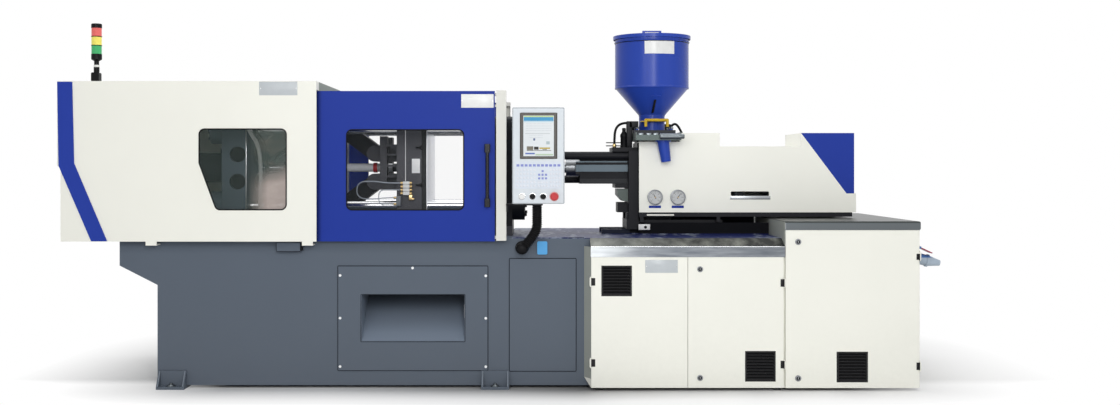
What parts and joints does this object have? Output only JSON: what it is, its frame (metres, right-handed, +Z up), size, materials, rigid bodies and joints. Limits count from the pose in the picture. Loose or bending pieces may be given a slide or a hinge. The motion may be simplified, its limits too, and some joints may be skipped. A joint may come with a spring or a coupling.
{
  "type": "injection moulding machine",
  "caption": "Horizontal toggle-clamp injection moulding machine with guard, sliding doors, hopper, injection unit, control panel and cabinets on a welded base.",
  "frame": {"origin": "middle of the machine's footprint box on the floor", "axes": "+X along the machine from the clamp end to the injection end, +Y from the operator's side to the back, +Z up"},
  "size_m": [4.7108, 1.349, 1.976],
  "materials": {
    "base_paint": "satin blue-grey paint",
    "cream_paint": "satin cream paint",
    "blue_paint": "satin blue paint",
    "light_blue": "smooth",
    "stainless": "brushed",
    "dark_casting": "dark painted casting",
    "bright_steel": "ground and plated",
    "machined_steel": "machined",
    "clear_window": "clear sheet",
    "black_plastic": "matt",
    "grey_plastic": "matt",
    "white_plastic": "smooth",
    "clear_hose": "smooth, translucent",
    "lens_red": "glossy lens",
    "lens_yellow": "glossy lens",
    "lens_green": "glossy lens",
    "red_plastic": "smooth",
    "yellow_paint": "gloss yellow paint",
    "screen_glass": "glossy screen",
    "black_rubber": "matt"
  },
  "bodies": {
    "machine": {"base_frame": "base_paint", "front_panels": "base_paint", "deck_tray": "stainless", "guard_front": "cream_paint", "guard_wrap": "cream_paint", "stripe_panel": "blue_paint", "guard_window": "clear_window", "door_frame": "cream_paint", "stack_light_body": "black_plastic", "lens_red": "lens_red", "lens_yellow": "lens_yellow", "lens_green": "lens_green", "fixed_platen": "dark_casting", "tail_platen": "dark_casting", "tie_bars": "bright_steel", "clamp_cylinder": "dark_casting", "conduit": "black_plastic", "panel_bracket": "black_plastic", "low_cabinet": "base_paint", "cabinet_tops": "stainless", "tall_cabinet": "cream_paint", "pump_unit": "dark_casting", "end_sockets": "grey_plastic"},
    "front_door": {"safety_door": "blue_paint", "safety_door_window": "clear_window", "safety_door_handle": "black_plastic"},
    "back_door": {"rear_door": "blue_paint", "rear_door_window": "clear_window"},
    "moving_clamp": {"moving_platen": "dark_casting", "water_manifold": "white_plastic", "water_hoses": "clear_hose"},
    "ejector": {"ejector_rod": "bright_steel"},
    "crosshead_body": {"crosshead": "machined_steel"},
    "rear_link_up": {"rear_link_upper": "dark_casting"},
    "rear_link_down": {"rear_link_lower": "dark_casting"},
    "front_link_up": {"front_link_upper": "dark_casting"},
    "front_link_down": {"front_link_lower": "dark_casting"},
    "injection_carriage": {"carriage": "dark_casting", "barrel": "machined_steel", "barrel_guard": "dark_casting", "injection_cover": "cream_paint", "cover_wedge": "blue_paint", "gauges": "black_plastic", "throat_hose": "machined_steel", "discharge_tube": "blue_paint"},
    "ram": {"injection_ram": "machined_steel"},
    "plasticising_screw": {"screw": "machined_steel"},
    "hopper_body": {"hopper": "blue_paint", "hopper_lid": "blue_paint"},
    "gate": {"slide_gate": "yellow_paint"},
    "control_panel": {"panel_housing": "cream_paint", "panel_screen": "screen_glass"},
    "white_button": {"push_button": "white_plastic"},
    "left_knob": {"selector_left": "black_plastic"},
    "right_knob": {"selector_right": "black_plastic"},
    "stop_button": {"emergency_stop": "red_plastic"},
    "left_cabinet_door": {"low_door_left": "cream_paint"},
    "right_cabinet_door": {"low_door_right": "cream_paint"},
    "end_cabinet_door": {"tall_door": "cream_paint"},
    "lid_of_socket": {"socket_lid": "red_plastic"}
  },
  "joints": [
    {"name": "front_door_slide", "type": "slide", "parent": "machine", "child": "front_door", "axis": [-1, 0, 0], "range_m": [0, 0.88]},
    {"name": "back_door_slide", "type": "slide", "parent": "machine", "child": "back_door", "axis": [-1, 0, 0], "range_m": [0, 0.88]},
    {"name": "platen_slide", "type": "slide", "parent": "machine", "child": "moving_clamp", "axis": [1, 0, 0], "range_m": [-0.1, 0.16]},
    {"name": "ejector_slide", "type": "slide", "parent": "moving_clamp", "child": "ejector", "axis": [1, 0, 0], "range_m": [0, 0.1]},
    {"name": "crosshead_slide", "type": "slide", "parent": "machine", "child": "crosshead_body", "axis": [1, 0, 0], "range_m": [-0.091, 0.145]},
    {"name": "rear_link_up_pivot", "type": "hinge", "parent": "machine", "child": "rear_link_up", "pos_m": [-1.38838, 0.0345, 1.255], "axis": [0, 1, 0], "range_deg": [-12.1, 19.2]},
    {"name": "rear_link_down_pivot", "type": "hinge", "parent": "machine", "child": "rear_link_down", "pos_m": [-1.38838, 0.0345, 1.095], "axis": [0, 1, 0], "range_deg": [-19.2, 12.1]},
    {"name": "front_link_up_pivot", "type": "hinge", "parent": "moving_clamp", "child": "front_link_up", "pos_m": [-0.74838, 0.0345, 1.255], "axis": [0, 1, 0], "range_deg": [-19.2, 12.1]},
    {"name": "front_link_down_pivot", "type": "hinge", "parent": "moving_clamp", "child": "front_link_down", "pos_m": [-0.74838, 0.0345, 1.095], "axis": [0, 1, 0], "range_deg": [-12.1, 19.2]},
    {"name": "carriage_slide", "type": "slide", "parent": "machine", "child": "injection_carriage", "axis": [1, 0, 0], "range_m": [0, 0.25]},
    {"name": "injection_slide", "type": "slide", "parent": "injection_carriage", "child": "ram", "axis": [1, 0, 0], "range_m": [0, 0.17]},
    {"name": "screw_turn", "type": "hinge", "parent": "ram", "child": "plasticising_screw", "pos_m": [0.94462, 0.0345, 1.175], "axis": [1, 0, 0], "continuous": true},
    {"name": "hopper_slide", "type": "slide", "parent": "injection_carriage", "child": "hopper_body", "axis": [0, -1, 0], "range_m": [0, 0.27]},
    {"name": "gate_slide", "type": "slide", "parent": "hopper_body", "child": "gate", "axis": [0, -1, 0], "range_m": [0, 0.1]},
    {"name": "panel_swivel", "type": "hinge", "parent": "machine", "child": "control_panel", "pos_m": [0.17662, -0.6155, 1], "axis": [0, 0, 1], "range_deg": [-40, 40]},
    {"name": "white_button_press", "type": "slide", "parent": "control_panel", "child": "white_button", "axis": [0, 1, 0], "range_m": [0, 0.004], "stiffness_N_per_m": 600},
    {"name": "left_knob_turn", "type": "hinge", "parent": "control_panel", "child": "left_knob", "pos_m": [0.15262, -0.6545, 1.023], "axis": [0, 1, 0], "range_deg": [-45, 45]},
    {"name": "right_knob_turn", "type": "hinge", "parent": "control_panel", "child": "right_knob", "pos_m": [0.20862, -0.6545, 1.023], "axis": [0, 1, 0], "range_deg": [-45, 45]},
    {"name": "stop_button_press", "type": "slide", "parent": "control_panel", "child": "stop_button", "axis": [0, 1, 0], "range_m": [0, 0.006]},
    {"name": "left_cabinet_door_hinge", "type": "hinge", "parent": "machine", "child": "left_cabinet_door", "pos_m": [0.45762, -0.6315, 0.574], "axis": [0, 0, -1], "range_deg": [0, 105]},
    {"name": "right_cabinet_door_hinge", "type": "hinge", "parent": "machine", "child": "right_cabinet_door", "pos_m": [1.47742, -0.6315, 0.568], "axis": [0, 0, 1], "range_deg": [0, 105]},
    {"name": "end_cabinet_door_hinge", "type": "hinge", "parent": "machine", "child": "end_cabinet_door", "pos_m": [2.18812, -0.6365, 0.71], "axis": [0, 0, 1], "range_deg": [0, 105]},
    {"name": "socket_lid_hinge", "type": "hinge", "parent": "machine", "child": "lid_of_socket", "pos_m": [2.23462, -0.4405, 0.746], "axis": [0, -1, 0], "range_deg": [0, 95], "stiffness_Nm_per_rad": 0.15}
  ],
  "couplings": [
    {"joint": "crosshead_slide", "follows": "platen_slide", "ratio": 0.9},
    {"joint": "rear_link_up_pivot", "follows": "platen_slide", "rad_per_m": 2.0833},
    {"joint": "rear_link_down_pivot", "follows": "platen_slide", "rad_per_m": -2.0833},
    {"joint": "front_link_up_pivot", "follows": "platen_slide", "rad_per_m": -2.0833},
    {"joint": "front_link_down_pivot", "follows": "platen_slide", "rad_per_m": 2.0833}
  ]
}
